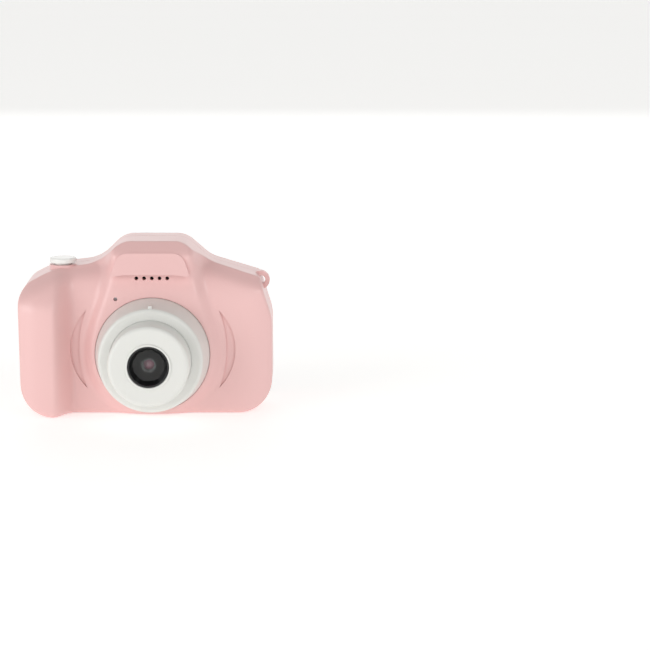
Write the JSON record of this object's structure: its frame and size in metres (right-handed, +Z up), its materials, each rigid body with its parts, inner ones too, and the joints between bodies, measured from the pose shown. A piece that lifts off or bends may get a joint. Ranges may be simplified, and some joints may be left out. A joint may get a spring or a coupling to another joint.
{
  "type": "kids digital camera",
  "caption": "Palm-sized toy camera: two moulded shells with a rounded grip, a stepped lens barrel, a shutter button, rear keys, a screen, a hinged port cover and a card slot.",
  "frame": {"origin": "bottom centre of the overall box, on the surface that the camera stands on", "axes": "+X to the right seen from the front, -Y the way the lens points, +Z up"},
  "size_m": [0.082, 0.052, 0.0565],
  "materials": {
    "shell_pink": "moulded, glossy",
    "ring_white": "moulded, satin gloss",
    "button_white": "moulded, glossy",
    "bezel_black": "moulded, glossy",
    "clear_acrylic": "clear acrylic",
    "coated_glass": "coated",
    "moulded_black": "moulded, matte",
    "moulded_white": "moulded, matte",
    "board_green": "solder mask",
    "polyimide": "film",
    "screw_steel": "zinc plated",
    "socket_steel": "stamped, plated",
    "wire_red": "insulated",
    "panel_dark": "panel, unlit",
    "foam_grey": "closed-cell foam",
    "can_aluminium": "drawn can",
    "battery_foil": "laminated pouch"
  },
  "bodies": {
    "camera_body": {"front_shell": "shell_pink", "rear_shell": "shell_pink", "lens_base_ring": "ring_white", "lens_hood": "ring_white", "lens_bezel": "bezel_black", "lens_window": "clear_acrylic", "screen_window": "clear_acrylic", "lens_glass": "coated_glass", "lens_holder": "moulded_black", "sensor_module": "moulded_black", "sensor_board": "board_green", "main_board": "board_green", "shutter_board": "board_green", "module_bracket": "moulded_white", "lcd_holder": "moulded_white", "sensor_flex": "polyimide", "lcd_flex": "polyimide", "shell_screws": "screw_steel", "lens_screws": "screw_steel", "board_screws": "screw_steel", "shutter_screws": "screw_steel", "shutter_switch": "moulded_black", "key_switches": "moulded_black", "shutter_wires": "wire_red", "battery_wires": "wire_red", "speaker_wires": "wire_red", "microphone_wires": "wire_red", "charge_led": "moulded_white", "light_pipe": "clear_acrylic", "board_chips": "moulded_black", "lcd_panel": "panel_dark", "lcd_gasket": "foam_grey", "battery_pad": "foam_grey", "usb_socket": "socket_steel", "card_socket": "socket_steel", "speaker": "moulded_black", "microphone": "can_aluminium", "battery": "battery_foil"},
    "shutter": {"shutter_button": "button_white", "shutter_plunger": "moulded_black"},
    "port_flap": {"port_cover": "shell_pink"},
    "card": {"memory_card": "moulded_black"},
    "ok_key": {"key_ok": "button_white", "key_ok_plunger": "moulded_black"},
    "up_key": {"key_up": "button_white", "key_up_plunger": "moulded_black"},
    "down_key": {"key_down": "button_white", "key_down_plunger": "moulded_black"},
    "left_key": {"key_left": "button_white", "key_left_plunger": "moulded_black"},
    "right_key": {"key_right": "button_white", "key_right_plunger": "moulded_black"},
    "mode_key": {"key_mode": "button_white", "key_mode_plunger": "moulded_black"},
    "power_key": {"key_power": "button_white", "key_power_plunger": "moulded_black"}
  },
  "joints": [
    {"name": "shutter_press", "type": "slide", "parent": "camera_body", "child": "shutter", "axis": [0, 0, -1], "range_m": [0, 0.0006], "stiffness_N_per_m": 1500, "springref_m": -0.0003},
    {"name": "port_cover_hinge", "type": "hinge", "parent": "camera_body", "child": "port_flap", "pos_m": [0.004, 0.0196, 0.00065], "axis": [1, 0, 0], "range_deg": [0, 100]},
    {"name": "card_pull", "type": "slide", "parent": "camera_body", "child": "card", "axis": [0, 0, -1], "range_m": [0, 0.012]},
    {"name": "ok_press", "type": "slide", "parent": "camera_body", "child": "ok_key", "axis": [0, -1, 0], "range_m": [0, 0.0004], "stiffness_N_per_m": 2000, "springref_m": -0.0003},
    {"name": "up_press", "type": "slide", "parent": "camera_body", "child": "up_key", "axis": [0, -1, 0], "range_m": [0, 0.0004], "stiffness_N_per_m": 2000, "springref_m": -0.0003},
    {"name": "down_press", "type": "slide", "parent": "camera_body", "child": "down_key", "axis": [0, -1, 0], "range_m": [0, 0.0004], "stiffness_N_per_m": 2000, "springref_m": -0.0003},
    {"name": "left_press", "type": "slide", "parent": "camera_body", "child": "left_key", "axis": [0, -1, 0], "range_m": [0, 0.0004], "stiffness_N_per_m": 2000, "springref_m": -0.0003},
    {"name": "right_press", "type": "slide", "parent": "camera_body", "child": "right_key", "axis": [0, -1, 0], "range_m": [0, 0.0004], "stiffness_N_per_m": 2000, "springref_m": -0.0003},
    {"name": "mode_press", "type": "slide", "parent": "camera_body", "child": "mode_key", "axis": [0, -1, 0], "range_m": [0, 0.0004], "stiffness_N_per_m": 2000, "springref_m": -0.0003},
    {"name": "power_press", "type": "slide", "parent": "camera_body", "child": "power_key", "axis": [0, -1, 0], "range_m": [0, 0.0004], "stiffness_N_per_m": 2000, "springref_m": -0.0003}
  ]
}
